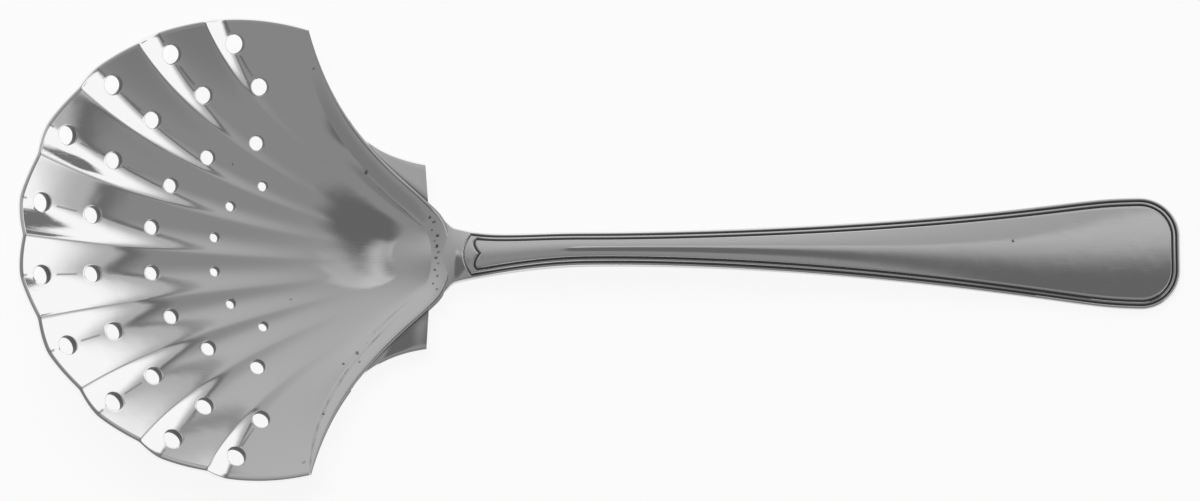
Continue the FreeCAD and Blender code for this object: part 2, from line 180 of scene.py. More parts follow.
def rim_radius(angle, scallop_depth):
    """Distance from the fan root to a scalloped ellipse, the larger root of a quadratic."""
    ray = np.radians(np.abs(angle))
    fade = 1.0 - np.abs(angle) / SCALLOP_FADE
    scallop = -scallop_depth * fade * fold_wave(angle, SCALLOP_CRISPNESS)
    half_length = RIM_HALF_LENGTH + scallop
    half_width = RIM_HALF_WIDTH + scallop
    back = FAN_ROOT - RIM_CENTRE
    square = (np.cos(ray) / half_length) ** 2 + (np.sin(ray) / half_width) ** 2
    linear = back * np.cos(ray) / half_length ** 2
    constant = (back / half_length) ** 2 - 1.0
    return (linear + np.sqrt(linear * linear - square * constant)) / square


def fan_radius(angle, share, spoon):
    """Distance from the fan root of a share of the way from the heel to the rim."""
    return ROOT_RADIUS + share * (rim_radius(angle, spoon.rim_scallop) - ROOT_RADIUS)


def bowl_plan(angle, share, spoon):
    """X and Y of a bowl point: a ray from the fan root that draws in towards the heel.

    The ray's angle is the rim angle times a parabola of the share that is left to the rim. The
    parabola draws in less about the relief angle, by a Gaussian.
    """
    inward = 1.0 - share
    curl = FAN_CURL - CURL_RELIEF * np.exp(-((np.abs(angle) - RELIEF_ANGLE) / RELIEF_SPREAD) ** 2)
    turn = np.radians(angle * (1.0 - curl * inward + FAN_EASE * inward ** 2))
    radius = fan_radius(angle, share, spoon)
    return FAN_ROOT - radius * np.cos(turn), radius * np.sin(turn)


def bowl_base(angle, share, spoon):
    """The bowl before fluting: a log-cosh and a cube along X, a square of Y, and the heel's walls.

    The walls are powers of how far inward a point is, as a share of the way to an even rim, so
    that the scallop doesn't move them.
    """
    along, across = bowl_plan(angle, share, spoon)
    ahead = WELL_PLACE - along
    height = WELL_SLOPE * WELL_LENGTH * np.log(np.cosh(ahead / WELL_LENGTH))
    height = height + TIP_SLOPE * np.maximum(0.0, ahead) ** 3 / (3.0 * TIP_REACH ** 2)
    even = (fan_radius(angle, share, spoon) - ROOT_RADIUS) / (rim_radius(angle, 0.0) - ROOT_RADIUS)
    inward = np.maximum(0.0, 1.0 - even)
    height = height + SIDE_CLIMB * across ** 2 + HEEL_CLIMB * inward ** HEEL_POWER
    bump = BACK_SCALE * inward ** 1.5 * (1.0 - inward ** 7)
    height = height + BACK_CLIMB * (angle / FAN_HALF_ANGLE) ** 4 * bump + BOWL_LIFT
    return np.stack([along, across, height], axis=-1)


def bowl_top(angle, share, spoon):
    """The bowl's inside: the base plus the fold wave, which grows from the heel to the rim."""
    points = bowl_base(angle, share, spoon)
    power = FLUTE_GROWTH + OUTER_GROWTH * (angle / RELIEF_ANGLE) ** 4
    grown = np.maximum(0.0, (share - FLUTE_START) / (1.0 - FLUTE_START)) ** power
    wave = fold_wave(angle, RIM_CRISPNESS - CRISPNESS_LOSS * (1.0 - share))
    points[..., 2] += 0.5 * spoon.flute_depth * grown * wave
    return points


def bowl_normal(angle, share, spoon):
    """Upward unit normal of the unfluted bowl, the cross product of two central differences."""
    across = bowl_base(angle + SMALL_ANGLE, share, spoon) - bowl_base(angle - SMALL_ANGLE, share, spoon)
    along = bowl_base(angle, share + SMALL_SHARE, spoon) - bowl_base(angle, share - SMALL_SHARE, spoon)
    normal = np.cross(along, across)
    normal = normal * np.sign(normal[..., 2:3])
    return normal / np.linalg.norm(normal, axis=-1, keepdims=True)


def bowl_low(angle, share, spoon):
    """The bowl's underside: the inside moved down the base normal by the metal's thickness."""
    return bowl_top(angle, share, spoon) - bowl_normal(angle, share, spoon) * spoon.sheet_thickness


MERGE_DISTANCE = 0.002 * MM
SHARP_ANGLE = math.radians(48.0)


class Surface:
    """Grids of points gathered into one mesh, with quads between neighbouring points."""

    def __init__(self):
        self.blocks = []
        self.dark = []
        self.faces = []
        self.count = 0

    def points(self, grid, dark=0.0):
        """Adds an array of points, with how much painted shade each has, and returns the array of their
        numbers.
        """
        shape = grid.shape[:-1]
        ids = self.count + np.arange(int(np.prod(shape))).reshape(shape)
        self.blocks.append(grid.reshape(-1, 3))
        self.dark.append(np.broadcast_to(dark, shape).reshape(-1))
        self.count += ids.size
        return ids

    def quads(self, ids, keep=None):
        """Quads between the rows and columns of the last two axes of ids, where keep is true."""
        corners = np.stack([ids[..., :-1, :-1], ids[..., 1:, :-1], ids[..., 1:, 1:],
                            ids[..., :-1, 1:]], axis=-1)
        if keep is not None:
            corners = corners[keep]
        self.faces += corners.reshape(-1, 4).tolist()

    def cap(self, *lines):
        """One face through the points of the lines, in order."""
        self.faces.append(np.concatenate(lines).tolist())

    def rings(self, rings):
        """Quads between closed rings, each an array whose last axis runs round the ring."""
        stacked = np.stack([np.concatenate([ring, ring[..., :1]], axis=-1) for ring in rings], axis=-2)
        self.quads(stacked)

    def finish(self, name):
        """Makes a mesh object of it all: doubles merged, facing outwards, smooth but for sharp edges."""
        mesh = bpy.data.meshes.new(name)
        mesh.from_pydata((np.concatenate(self.blocks) * MM).tolist(), [], self.faces)
        # The painted shade of each point, kept for the material
        painted_shade_and_pits = mesh.attributes.new("painted_shade_and_pits", "FLOAT", "POINT")
        painted_shade_and_pits.data.foreach_set("value", np.concatenate(self.dark).astype(np.float32))
        form = bmesh.new()
        form.from_mesh(mesh)
        bmesh.ops.remove_doubles(form, verts=form.verts, dist=MERGE_DISTANCE)
        bmesh.ops.recalc_face_normals(form, faces=form.faces)
        form.to_mesh(mesh)
        form.free()
        mesh.shade_smooth()
        mesh.set_sharp_from_angle(angle=SHARP_ANGLE)
        piece = bpy.data.objects.new(name, mesh)
        bpy.context.scene.collection.objects.link(piece)


# A ring of holes: the name of its diameter, its share of the way to the rim at the middle, the fall
# of that share per squared row, its rows a side, and the half height of the block of surface that
# each hole is cut in
Ring = namedtuple("Ring", "diameter share fall rows half_height")
HOLE_RINGS = (
    Ring("hole_inner", 0.533, 0.0115, 3, 0.026),
    Ring("hole_third", 0.685, 0.0095, 4, 0.038),
    Ring("hole_second", 0.829, 0.0036, 5, 0.040),
    Ring("hole_outer", 0.951, 0.0019, 5, 0.038),
)
HOLE_TOP_ROUND = 0.16
HOLE_LOW_ROUND = 0.07
HOLE_LOOPS = (0.0, 0.16, 0.4, 0.7)
HOLE_TURNS = np.radians([30.0, 60.0, 90.0])
HOLE_GUESS = 0.6
HOLE_TRIES = 12
BLOCK_HALF_ANGLE = 2.6
BLOCK_ROWS = 8
BLOCK_COLUMNS = 12

# Rows of surface in each band between the heel, the blocks and the rim
BAND_ROWS = (24, 8, 6, 8, 5, 8, 4, 8, 3)

# Columns from a block out to the next ridge, from a ridge on to its block, and by the back corner,
# with the powers that crowd them towards the folds, and how much of a flank a block may take up
BLOCK_SHARE = 0.93
BLOCK_EASE = 1.3
RISING_COLUMNS = 8
RISING_EASE = 1.5
FALLING_COLUMNS = 3
MIDDLE_COLUMNS = 5
FALLING_EASE = 1.4
CORNER_COLUMNS = 12


def ring_share(ring, angle):
    """Share of the way to the rim of a ring of holes: a middle share less a square of the row."""
    row = np.interp(np.abs(angle), VALLEYS, range(5))
    return ring.share - ring.fall * row ** 2


def eased(count, power):
    """Shares from 0 to 1, evenly spaced and raised to a power, so that they crowd towards 0."""
    return (np.arange(count + 1) / count) ** power


def bowl_columns():
    """Rim angles of the columns, closest by the folds, with each valley in the middle of its block.

    One side is worked out outwards from the middle, ridge by ridge, and then mirrored.
    """
    block = eased(BLOCK_COLUMNS // 2, BLOCK_EASE)
    angles = [np.array([0.0])]
    last = 0.0
    for ridge, valley in zip(RIDGES, VALLEYS):
        if ridge > last:
            angles.append(ridge - (ridge - last) * eased(RISING_COLUMNS, RISING_EASE)[-2::-1])
        inner = min(BLOCK_HALF_ANGLE, BLOCK_SHARE * (valley - ridge))
        steps = FALLING_COLUMNS if ridge > 0.0 else MIDDLE_COLUMNS
        angles.append(ridge + (valley - inner - ridge) * eased(steps, FALLING_EASE)[1:])
        angles.append(valley - inner * block[-2::-1])
        angles.append(valley + BLOCK_HALF_ANGLE * block[1:])
        last = valley + BLOCK_HALF_ANGLE
    angles.append(last + (FAN_HALF_ANGLE - last) * eased(CORNER_COLUMNS, 1.0)[1:])
    one_side = np.concatenate(angles)
    return np.concatenate([-one_side[:0:-1], one_side])


def bowl_rows(angles, spoon):
    """Shares of the rows by the columns: straight steps between the heel, the blocks and the rim."""
    knots = [np.zeros_like(angles)]
    for ring in HOLE_RINGS:
        middle = ring_share(ring, angles)
        knots += [middle - ring.half_height, middle + ring.half_height]
    knots.append(1.0 - RIM_ROUND / rim_radius(angles, spoon.rim_scallop))
    rows = [knots[0][None]]
    for low, high, count in zip(knots[:-1], knots[1:], BAND_ROWS):
        steps = np.arange(1, count + 1)[:, None] / count
        rows.append(low + (high - low) * steps)
    return np.concatenate(rows)


def hole_blocks(angles):
    """For every hole: its ring, its rim angle, and the first row and column of its block."""
    first_rows = np.cumsum((0,) + BAND_ROWS)
    blocks = []
    for ring, row in zip(HOLE_RINGS, first_rows[1::2]):
        for valley in VALLEYS[:ring.rows]:
            for angle in (-valley, valley):
                column = int(np.argmin(np.abs(angles - angle))) - BLOCK_COLUMNS // 2
                blocks.append((ring, angle, row, column))
    return blocks


def perimeter(row, column):
    """Rows and columns of the points round a block, in order."""
    across = np.arange(BLOCK_COLUMNS)
    up = np.arange(BLOCK_ROWS)
    rows = np.concatenate([0 * across, up, BLOCK_ROWS + 0 * across, BLOCK_ROWS - up])
    columns = np.concatenate([across, BLOCK_COLUMNS + 0 * up, BLOCK_COLUMNS - across, 0 * up])
    return row + rows, column + columns


def hole_edge(surface, centre, reach, axis_point, axis, radius, spoon):
    """How far out from the hole's middle, as a share of the block, each ray meets the punch.

    The ray's distance from the punch's axis is nearly proportional to that share, so a first guess
    is scaled by radius over distance until it settles.
    """
    share = np.full(reach.shape[:-1], HOLE_GUESS)
    for _ in range(HOLE_TRIES):
        at = centre + reach * share[..., None]
        offset = surface(at[..., 0], at[..., 1], spoon) - axis_point
        offset = offset - np.sum(offset * axis, axis=-1, keepdims=True) * axis
        share = share * radius / np.linalg.norm(offset, axis=-1)
    return share


def punch_holes(mesh, angles, shares, skins, spoon):
    """Rings of surface round each hole on both skins, and its rounded wall between them.

    The wall turns in from each skin by a quarter circle, and is painted with shade by the cube of its sine.
    """
    blocks = hole_blocks(angles)
    rows, columns = np.stack([perimeter(row, column) for _, _, row, column in blocks], axis=1)
    middle = np.array([angle for _, angle, _, _ in blocks])
    middle_share = np.array([ring_share(ring, angle) for ring, angle, _, _ in blocks])
    radius = 0.5 * np.array([getattr(spoon, ring.diameter) for ring, _, _, _ in blocks])[:, None]
    centre = np.stack([middle, middle_share], axis=-1)[:, None, :]
    reach = np.stack([angles[columns], shares[rows, columns]], axis=-1) - centre
    axis_point = bowl_top(middle, middle_share, spoon)[:, None, :]
    axis = bowl_normal(middle, middle_share, spoon)[:, None, :]
    walls = []
    for surface, grid, lip, side in ((bowl_top, skins[0], HOLE_TOP_ROUND, 1.0),
                                     (bowl_low, skins[1], HOLE_LOW_ROUND, -1.0)):
        start = hole_edge(surface, centre, reach, axis_point, axis, radius + lip, spoon)
        loops = []
        for step in HOLE_LOOPS:
            at = centre + reach * (start + (1.0 - start) * step)[..., None]
            loops.append(mesh.points(surface(at[..., 0], at[..., 1], spoon)))
        loops.append(grid[rows, columns])
        mesh.rings(loops)
        at = centre + reach * start[..., None]
        offset = surface(at[..., 0], at[..., 1], spoon) - axis_point
        height = np.sum(offset * axis, axis=-1, keepdims=True)
        away = offset - height * axis
        away = away / np.linalg.norm(away, axis=-1, keepdims=True)
        wall = [loops[0]]
        for turn in HOLE_TURNS:
            out = (radius + lip * (1.0 - math.sin(turn)))[..., None]
            down = side * lip * (1.0 - math.cos(turn))
            ring = axis_point + away * out + axis * (height - down)
            # Painted shade on the hole's wall, darker where the wall turns steeper
            wall.append(mesh.points(ring, math.sin(turn) ** 3))
        walls.append(wall)
    mesh.rings(walls[0] + walls[1][::-1])


# Painted shade along the folds near the rim: its darkness, the share where it starts and the share over which
# it grows
FOLD_SHADE = 0.65
FOLD_SHADE_START = 0.74
FOLD_SHADE_RUN = 0.12


def fold_shade_lines(angle, share):
    """Thin dark lines of painted shade in the folds: the columns on each ridge and valley, darker towards the
    rim.
    """
    on_fold = np.isclose(np.abs(angle)[..., None], FOLDS[:-1], atol=0.01).any(axis=-1)
    return FOLD_SHADE * on_fold * np.clip((share - FOLD_SHADE_START) / FOLD_SHADE_RUN, 0.0, 1.0)


def shell_bowl(spoon):
    """The pierced shell: two skins over a grid of rim angles and shares, holes, and a rounded rim.

    The rim's edge is half an ellipse from skin to skin, and is capped at the two back corners.
    """
    angles = bowl_columns()
    shares = bowl_rows(angles, spoon)
    wide = np.broadcast_to(angles, shares.shape)
    mesh = Surface()
    skins = [mesh.points(bowl_top(wide, shares, spoon), fold_shade_lines(wide, shares)),
             mesh.points(bowl_low(wide, shares, spoon))]
    keep = np.ones((shares.shape[0] - 1, shares.shape[1] - 1), dtype=bool)
    for _, _, row, column in hole_blocks(angles):
        keep[row:row + BLOCK_ROWS, column:column + BLOCK_COLUMNS] = False
    for skin in skins:
        mesh.quads(skin, keep)
    punch_holes(mesh, angles, shares, skins, spoon)

    top = bowl_top(angles, shares[-1], spoon)
    down = bowl_low(angles, shares[-1], spoon) - top
    outward = top - bowl_top(angles, shares[-1] - EDGE_SHARE, spoon)
    outward = outward / np.linalg.norm(outward, axis=-1, keepdims=True)
    turns = RIM_TURNS[:, None, None]
    bulge = top + down * (0.5 - 0.5 * np.cos(turns)) + outward * (RIM_ROUND * np.sin(turns))
    rim = mesh.points(bulge)
    mesh.quads(np.concatenate([skins[0][-1:], rim, skins[1][-1:]]))
    mesh.quads(np.stack([skins[0][0], skins[1][0]]))
    for column in (0, -1):
        mesh.quads(np.stack([skins[0][:, column], skins[1][:, column]]))
        mesh.cap(skins[0][-1:, column], rim[:, column], skins[1][-1:, column])
    return mesh


def closed_tube(points, dark):
    """A surface whose rows are closed loops, with a face over the first loop and over the last."""
    mesh = Surface()
    ids = mesh.points(points, dark)
    mesh.rings(list(ids))
    mesh.cap(ids[0])
    mesh.cap(ids[-1])
    return mesh


# Collar and ears

COLLAR_START = 0.995
COLLAR_TAPER = 5.5
COLLAR_END_WIDTH = 0.15
HEEL_SHARE = 0.1
HEEL_REACH = 3.8
HEEL_SINK = 0.4
ARM_POINTS = 110
HEEL_POINTS = 61
COLLAR_PROFILE = np.array([
    # share across, share of the rise, share of the metal below the top, painted shade
    (-0.12, -0.10, 0.0, 0.0), (0.0, 0.0, 0.0, 0.0), (0.15, 0.24, 0.0, 0.0), (0.32, 0.50, 0.0, 0.0),
    (0.5, 0.73, 0.0, 0.0), (0.66, 0.89, 0.0, 0.0), (0.78, 0.97, 0.0, 0.0), (0.87, 1.0, 0.0, 0.0),
    (0.94, 0.96, 0.0, 0.5), (0.985, 0.86, 0.0, 0.85), (1.0, 0.72, 0.0, 1.0), (1.0, 0.72, 0.3, 1.0),
    (1.0, 0.72, 0.7, 1.0), (0.99, 0.72, 0.9, 0.8), (0.93, 0.72, 1.0, 0.3), (0.7, 0.66, 0.98, 0.0),
    (0.4, 0.5, 0.9, 0.0), (0.1, 0.2, 0.75, 0.0), (-0.12, -0.1, 0.62, 0.0),
])


def crease(share, side, spoon):
    """The bowl's back edge, and the plan direction square to it, away from the bowl."""
    angle = np.full_like(share, side * FAN_HALF_ANGLE)
    edge = bowl_top(angle, share, spoon)
    along = bowl_top(angle, share + EDGE_SHARE, spoon) - bowl_top(angle, share - EDGE_SHARE, spoon)
    outward = np.stack([along[..., 1], -along[..., 0], 0.0 * along[..., 0]], axis=-1) * side
    return edge, outward / np.linalg.norm(outward, axis=-1, keepdims=True)


def collar_reach(share, spoon):
    """Width of the collar: full round the heel, and down to its end width by a power of the share."""
    return spoon.collar_width * (1.0 - share ** COLLAR_TAPER) + COLLAR_END_WIDTH


def collar_climb(share, spoon):
    """How far the collar climbs: less by a Gaussian round the heel, and less where it is narrow."""
    low = HEEL_SINK * np.exp(-((share - HEEL_SHARE) / HEEL_SHARE) ** 2)
    return collar_reach(share, spoon) / spoon.collar_width * (spoon.collar_rise - low)


def heel_line(step, spoon):
    """The crease round the heel: a cubic curve from one arm to the other, and its plan outward.

    The curve's two middle poles lie straight on from the arms, at a height that brings the middle
    of the curve down to the bowl's floor, because each end counts for an eighth there and each pole
    for three eighths.
    """
    ends = np.array([HEEL_SHARE, HEEL_SHARE - EDGE_SHARE, HEEL_SHARE + EDGE_SHARE])
    arm, _ = crease(ends, 1.0, spoon)
    onward = arm[1] - arm[2]
    turn = arm[0] + onward / np.linalg.norm(onward) * HEEL_REACH
    floor = bowl_top(np.zeros(1), np.zeros(1), spoon)[0, 2]
    turn[2] = (floor - 0.25 * arm[0, 2]) / 0.75
    rest = 1.0 - step
    pull = 3.0 * step * rest
    along = arm[0, 0] * (1.0 - pull) + turn[0] * pull
    across = arm[0, 1] * (rest ** 3 - step ** 3) + turn[1] * pull * (rest - step)
    height = arm[0, 2] * (1.0 - pull) + turn[2] * pull
    onward_x = (turn[0] - arm[0, 0]) * 3.0 * (1.0 - 2.0 * step)
    onward_y = -3.0 * arm[0, 1] * (rest ** 2 + step ** 2)
    onward_y = onward_y + turn[1] * 3.0 * (1.0 - 6.0 * step * rest)
    outward = np.stack([-onward_y, onward_x, 0.0 * step], axis=-1)
    outward = outward / np.linalg.norm(outward, axis=-1, keepdims=True)
    return np.stack([along, across, height], axis=-1), outward


def folded_collar(spoon):
    """The collar: a closed profile carried along both creases and round the heel, its ends capped."""
    share = np.linspace(COLLAR_START, HEEL_SHARE, ARM_POINTS)
    step = np.linspace(0.0, 1.0, HEEL_POINTS)[1:-1]
    left, left_out = crease(share, 1.0, spoon)
    heel, heel_out = heel_line(step, spoon)
    right, right_out = crease(share[::-1], -1.0, spoon)
    edge = np.concatenate([left, heel, right])
    outward = np.concatenate([left_out, heel_out, right_out])
    widths = np.concatenate([share, np.full_like(step, HEEL_SHARE), share[::-1]])
    reach = collar_reach(widths, spoon)[:, None, None]
    rise = collar_climb(widths, spoon)[:, None, None]
    # The last column paints shade on the collar's outer wall, in the crevice over the ears
    across, height, below, dark = COLLAR_PROFILE.T
    climb = rise * height[:, None] - spoon.collar_metal * below[:, None]
    points = edge[:, None] + outward[:, None] * (reach * across[:, None]) + UP * climb
    return closed_tube(points, dark)


EAR_FIRST_SHARE = 0.62
EAR_LAST_SHARE = 0.14
EAR_BEND = (-43.5, 19.8)
EAR_TIP = (-33.2, 18.1)
EAR_STEP = 0.5
EAR_SLOPE = math.radians(3.0)
EAR_START_GAP = 0.12
EAR_ROOT_SHARE = 0.35
EAR_ROUND_SHARE = 0.45
EAR_TOP_PARTS = (0.12, 0.3, 0.6, 0.85)
EAR_LOW_PARTS = (0.85, 0.6, 0.3)
EAR_TURNS = np.radians(np.arange(0.0, 181.0, 22.5))
# Painted shade on the ear's root, its crest and the first line over the top, under the collar
EAR_SHADE = (1.0, 0.9, 0.3)
EAR_POINTS = 40


def ear_root(share, side, spoon):
    """The line under the collar's crest that an ear springs from, and the plan direction outwards."""
    edge, outward = crease(share, side, spoon)
    reach = collar_reach(share, spoon)[..., None]
    point = edge + outward * reach
    point[..., 2] += collar_climb(share, spoon) - EAR_STEP
    return point, outward


def ear(spoon, side):
    """One ear: lines from under the collar out to a quadratic curve, with a rounded outer edge.

    Each line runs from the ear's first end to its tip. The lines follow each other out over the
    top, round the edge by half a circle and back underneath.
    """
    step = np.linspace(0.0, 1.0, EAR_POINTS)
    share = EAR_FIRST_SHARE + (EAR_LAST_SHARE - EAR_FIRST_SHARE) * step
    crest, outward = ear_root(share, side, spoon)
    first = crest[0] + outward[0] * EAR_START_GAP
    bend = np.array([EAR_BEND[0], side * EAR_BEND[1], 0.0])
    tip = np.array([EAR_TIP[0], side * EAR_TIP[1], 0.0])
    rest = (1.0 - step)[:, None]
    edge = first * rest ** 2 + bend * 2.0 * rest * step[:, None] + tip * step[:, None] ** 2
    run = np.hypot(edge[:, 0] - crest[:, 0], edge[:, 1] - crest[:, 1])
    edge[:, 2] = crest[:, 2] - run * math.tan(EAR_SLOPE)
    root = crest - outward * (EAR_ROOT_SHARE * collar_reach(share, spoon))[:, None]
    root[:, 2] = crest[:, 2]
    half = 0.5 * spoon.ear_metal
    outer = np.minimum(half, EAR_ROUND_SHARE * run)[:, None]
    away = edge - crest
    away = away / np.maximum(np.linalg.norm(away, axis=-1, keepdims=True), 1e-6)
    metal = UP * spoon.ear_metal
    lines = [root, crest]
    for part in EAR_TOP_PARTS:
        lines.append(crest + (edge - away * outer - crest) * part)
    for turn in EAR_TURNS:
        lines.append(edge - away * outer * (1.0 - math.sin(turn)) - UP * half * (1.0 - math.cos(turn)))
    for part in EAR_LOW_PARTS:
        lines.append(crest + (edge - away * outer - crest) * part - metal)
    lines += [crest - metal, root - metal]
    # The first lines get painted shade, where the ear springs from under the collar
    dark = np.zeros(len(lines))
    dark[:len(EAR_SHADE)] = EAR_SHADE
    return closed_tube(np.stack(lines, axis=1), dark)


# Threaded handle

HANDLE_START = -30.0
HANDLE_END = 110.0
END_CORNER = 7.6
SHOULDER = HANDLE_END - END_CORNER
NECK_THICKNESS = 4.0
END_THICKNESS = 2.0
ENTRY_SHARE = 0.6
NECK_HEIGHT = 3.6
ARCH_HEIGHT = 9.3
ARCH_PLACE = -3.0
ARCH_STRETCH = 1.13
WEB_PLACE = -28.1
WEB_SLOPE = 0.8
WEB_SHARPNESS = 4.0
NECK_SPREAD = 2.0
NECK_LENGTH = 8.5
NECK_LEVEL = 0.7
NECK_RUN = 4.0
WAIST_HALF_WIDTH = 3.18
BLADE_HALF_WIDTH = 10.85
BLADE_SPREAD = 7.4
BLADE_START = -7.0
BLADE_RUN = 102.0
BLADE_POWER = 2.05
BLADE_SHARPNESS = 2.5
NECK_CROWN = 0.8
CROWN_LOSS = 0.45
LOW_CROWN = 0.4


def soft_past(value, sharpness):
    """How far a value is past 0, with a soft start: the logarithm of 1 plus an exponential."""
    return np.log(1.0 + np.exp(sharpness * value)) / sharpness


def handle_half_width(along):
    """Half the width: a web at the heel, a soft neck, a waist, and a blade with soft shoulders.

    The web is a soft slope, the neck falls off as an exponential, and the blade widens by a power
    of X until it is softly held to its greatest width.
    """
    web = WEB_SLOPE * soft_past(WEB_PLACE - along, WEB_SHARPNESS)
    neck = NECK_SPREAD * np.exp(-(along - FAN_ROOT) / NECK_LENGTH) + web
    spread = BLADE_SPREAD * np.maximum(0.0, (along - BLADE_START) / BLADE_RUN) ** BLADE_POWER
    blade = WAIST_HALF_WIDTH + neck + spread
    return blade - soft_past(blade - BLADE_HALF_WIDTH, BLADE_SHARPNESS)


def handle_middle(along):
    """Height of the metal's middle: half a cosine up to the arch's top, and most of one down."""
    up = 0.5 - 0.5 * np.cos(np.pi * (along - HANDLE_START) / (ARCH_PLACE - HANDLE_START))
    rising = NECK_HEIGHT + (ARCH_HEIGHT - NECK_HEIGHT) * up
    low = 0.5 * END_THICKNESS
    swing = 0.5 + 0.5 * np.cos(np.pi * (along - ARCH_PLACE) / (ARCH_STRETCH * (HANDLE_END - ARCH_PLACE)))
    last = 0.5 + 0.5 * math.cos(math.pi / ARCH_STRETCH)
    falling = low + (ARCH_HEIGHT - low) * (swing - last) / (1.0 - last)
    return np.where(along < ARCH_PLACE, rising, falling)


def handle_thickness(along):
    """Thickness on the middle line: an even taper, thinned by a sine where it enters the heel."""
    taper = NECK_THICKNESS + (END_THICKNESS - NECK_THICKNESS) * (along - FAN_ROOT) / (HANDLE_END - FAN_ROOT)
    entry = np.clip((along - HANDLE_START) / (FAN_ROOT - HANDLE_START), 0.0, 1.0)
    return taper * (ENTRY_SHARE + (1.0 - ENTRY_SHARE) * np.sin(0.5 * np.pi * entry))


# The threads' cross curves by the neck, an arc and a brace of two lobes, and the painted shade in them
ARC_PLACE = -26.0
ARC_FALL = 1.4
ARC_HALF_WIDTH = 3.9
BRACE_PLACE = -24.0
LOBE_MIDDLE = 2.1
BRACE_TONGUE = 1.1
BRACE_TAIL = 3.1
WIDE_PLACE = -23.6
WIDE_REACH = 1.1
WIDE_GAIN = 0.5
GROOVE_POWER = 1.5
SHADE_POWER = 0.7
ARC_SHADE_PLACE = -26.2
ARC_SHADE_LOSS = 0.65
EDGE_SHADE = 0.45
EDGE_SHADE_WIDTH = 0.12


def groove(distance, width):
    """A groove's depth from 1 in its middle to 0 at its half width: a power of 1 less a square."""
    return np.maximum(0.0, 1.0 - (2.0 * distance / width) ** 2) ** GROOVE_POWER


def thread_lines(along, across, inset, spoon):
    """Depth of the two threads, which run beside the edge and turn across the neck, from 0 to 1.

    Each thread keeps to the lesser of two distances: the inset from the edge less the thread's own,
    and X past a cross curve, a parabola for the outer thread and a brace of two lobes for the inner.
    The inner thread is wider, by a Gaussian, where it turns.
    """
    aside = np.abs(across)
    arc = ARC_PLACE + ARC_FALL * (aside / ARC_HALF_WIDTH) ** 2
    lobe = (1.0 - aside / LOBE_MIDDLE) ** 2
    brace = BRACE_PLACE + np.where(aside < LOBE_MIDDLE, BRACE_TONGUE, BRACE_TAIL) * lobe
    outer = np.minimum(inset - spoon.thread_outer, along - arc)
    inner = np.minimum(inset - spoon.thread_inner, along - brace)
    wide = spoon.thread_width * (1.0 + WIDE_GAIN * np.exp(-((along - WIDE_PLACE) / WIDE_REACH) ** 2))
    return np.maximum(groove(outer, spoon.thread_width), groove(inner, wide))


def handle_skin(along, across, inset, is_top, spoon):
    """Points of a skin: a parabola across, less the threads and a quarter round at the edge.

    The top's parabola flattens along the handle, and by the neck more so, by a Gaussian.
    """
    ratio = across / handle_half_width(along)
    half = 0.5 * handle_thickness(along)
    edge = np.clip(spoon.edge_round - inset, 0.0, None)
    drop = spoon.edge_round - np.sqrt(np.maximum(spoon.edge_round ** 2 - edge ** 2, 0.0))
    if is_top:
        share = np.clip((along - FAN_ROOT) / (HANDLE_END - FAN_ROOT), 0.0, 1.0)
        level = 1.0 - NECK_LEVEL * np.exp(-(np.maximum(along - FAN_ROOT, 0.0) / NECK_RUN) ** 2)
        crown = (NECK_CROWN - CROWN_LOSS * share) * level
        height = handle_middle(along) + half * (1.0 - crown * ratio ** 2)
        height = height - drop - spoon.thread_depth * thread_lines(along, across, inset, spoon)
    else:
        height = handle_middle(along) - half * (1.0 - LOW_CROWN * ratio ** 2) + drop
    return np.stack([along, across, height], axis=-1)


def thread_shade(along, across, inset, spoon):
    """How dark the painted shade lies: a power of the threads' depth, and a Gaussian along the edge.

    It is lighter on the outer thread's arc, by a Gaussian of X a millimetre wide.
    """
    # Painted shade in the grooves, lighter on the arc, and along the edge
    groove_shade = thread_lines(along, across, inset, spoon) ** SHADE_POWER
    groove_shade = groove_shade * (1.0 - ARC_SHADE_LOSS * np.exp(-(along - ARC_SHADE_PLACE) ** 2))
    return np.clip(groove_shade + EDGE_SHADE * np.exp(-(inset / EDGE_SHADE_WIDTH) ** 2), 0.0, 1.0)


# Bands of rows along the handle, closest where the threads turn: the X that each starts at, and its
# rows
HANDLE_BANDS = ((HANDLE_START, 9), (-27.2, 48), (-21.4, 24), (2.0, 69), (SHOULDER, 1))
HANDLE_ALONG = np.concatenate(
    [np.linspace(start, end, rows, endpoint=False)
     for (start, rows), (end, _) in zip(HANDLE_BANDS[:-1], HANDLE_BANDS[1:])] + [[SHOULDER]])
CORNER_TURNS = np.linspace(0.0, 0.5 * np.pi, 24)[1:]
PANEL_SHARES = np.linspace(1.0, -1.0, 41)
EDGE_TURNS = np.radians(np.arange(0.0, 91.0, 15.0))
FINE_GAP = 0.03
FINE_STEP = 0.1
FINE_PAST = 0.59


